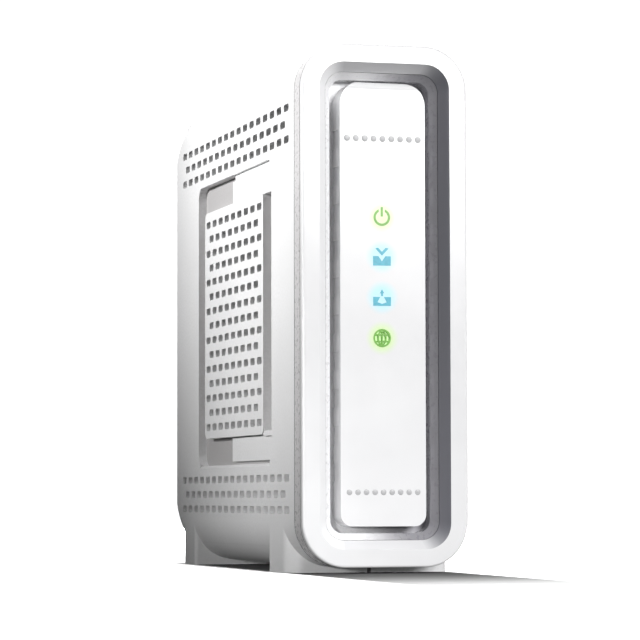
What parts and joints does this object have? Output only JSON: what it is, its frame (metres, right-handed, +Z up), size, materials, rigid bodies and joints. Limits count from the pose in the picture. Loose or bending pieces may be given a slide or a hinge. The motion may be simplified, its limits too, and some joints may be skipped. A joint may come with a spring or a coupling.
{
  "type": "cable modem",
  "caption": "Upright cable modem: slim rounded white housing on moulded feet, slotted side vents, glossy framed front with lit symbols, coaxial, network and power sockets behind.",
  "frame": {"origin": "middle of the outer box in width and depth, on the surface that the feet stand on", "axes": "+X to the right seen from the front, -Y is the front face with the lit symbols, +Y the connectors, +Z up"},
  "size_m": [0.0426, 0.146, 0.1309],
  "materials": {
    "shell_white": "satin, very fine speckled texture",
    "bezel_white": "high gloss",
    "trim_grey": "satin lilac-grey",
    "panel_white": "soft gloss",
    "lens_green": "lit translucent green",
    "lens_blue": "lit translucent cyan",
    "clear_guide": "clear moulded guide",
    "led_body": "clear epoxy",
    "board_mask": "solder mask",
    "chip_black": "moulded epoxy",
    "pad_grey": "silicone pad",
    "sink_aluminium": "extruded",
    "pin_white": "nylon",
    "shield_tin": "tin plated sheet",
    "can_dark": "sleeved can",
    "ferrite": "ferrite",
    "ceramic_tan": "ceramic with tinned ends",
    "rear_white": "satin",
    "screw_steel": "zinc plated",
    "label_paper": "blank label",
    "connector_nickel": "nickel plated",
    "insulator_white": "fluoropolymer",
    "contact_gold": "gold flash",
    "jack_black": "glass-filled thermoplastic",
    "light_amber": "tinted window",
    "button_black": "moulded plunger"
  },
  "bodies": {
    "housing": {"left_shell": "shell_white", "right_shell": "shell_white", "front_bezel": "bezel_white", "bezel_band": "bezel_white", "channel_trim": "trim_grey", "front_panel": "panel_white", "power_light": "lens_green", "receive_light": "lens_blue", "send_light": "lens_blue", "online_light": "lens_green", "light_guide": "clear_guide", "indicator_leds": "led_body", "main_board": "board_mask", "board_screws": "screw_steel", "modem_chip": "chip_black", "thermal_pad": "pad_grey", "heatsink": "sink_aluminium", "heatsink_pins": "pin_white", "memory_chip": "chip_black", "flash_chip": "chip_black", "tuner_shield_frame": "shield_tin", "tuner_shield_lid": "shield_tin", "tuner_chip": "chip_black", "ethernet_transformer": "chip_black", "electrolytic_capacitors": "can_dark", "power_inductors": "ferrite", "voltage_regulators": "chip_black", "crystal": "shield_tin", "ceramic_capacitors": "ceramic_tan", "rear_panel": "rear_white", "case_screws": "screw_steel", "rating_label": "label_paper", "coax_body": "connector_nickel", "coax_nut": "connector_nickel", "coax_insulator": "insulator_white", "coax_contact": "contact_gold", "ethernet_jack_housing": "jack_black", "ethernet_jack_shield": "shield_tin", "ethernet_contacts": "contact_gold", "ethernet_lights": "light_amber", "power_jack_housing": "jack_black", "power_jack_pin": "contact_gold", "power_jack_spring": "contact_gold", "reset_switch": "jack_black"},
    "reset_button": {"reset_button": "button_black"}
  },
  "joints": [
    {"name": "reset_press", "type": "slide", "parent": "housing", "child": "reset_button", "axis": [0, -1, 0], "range_m": [0, 0.0006], "stiffness_N_per_m": 900, "springref_m": -0.0004}
  ]
}
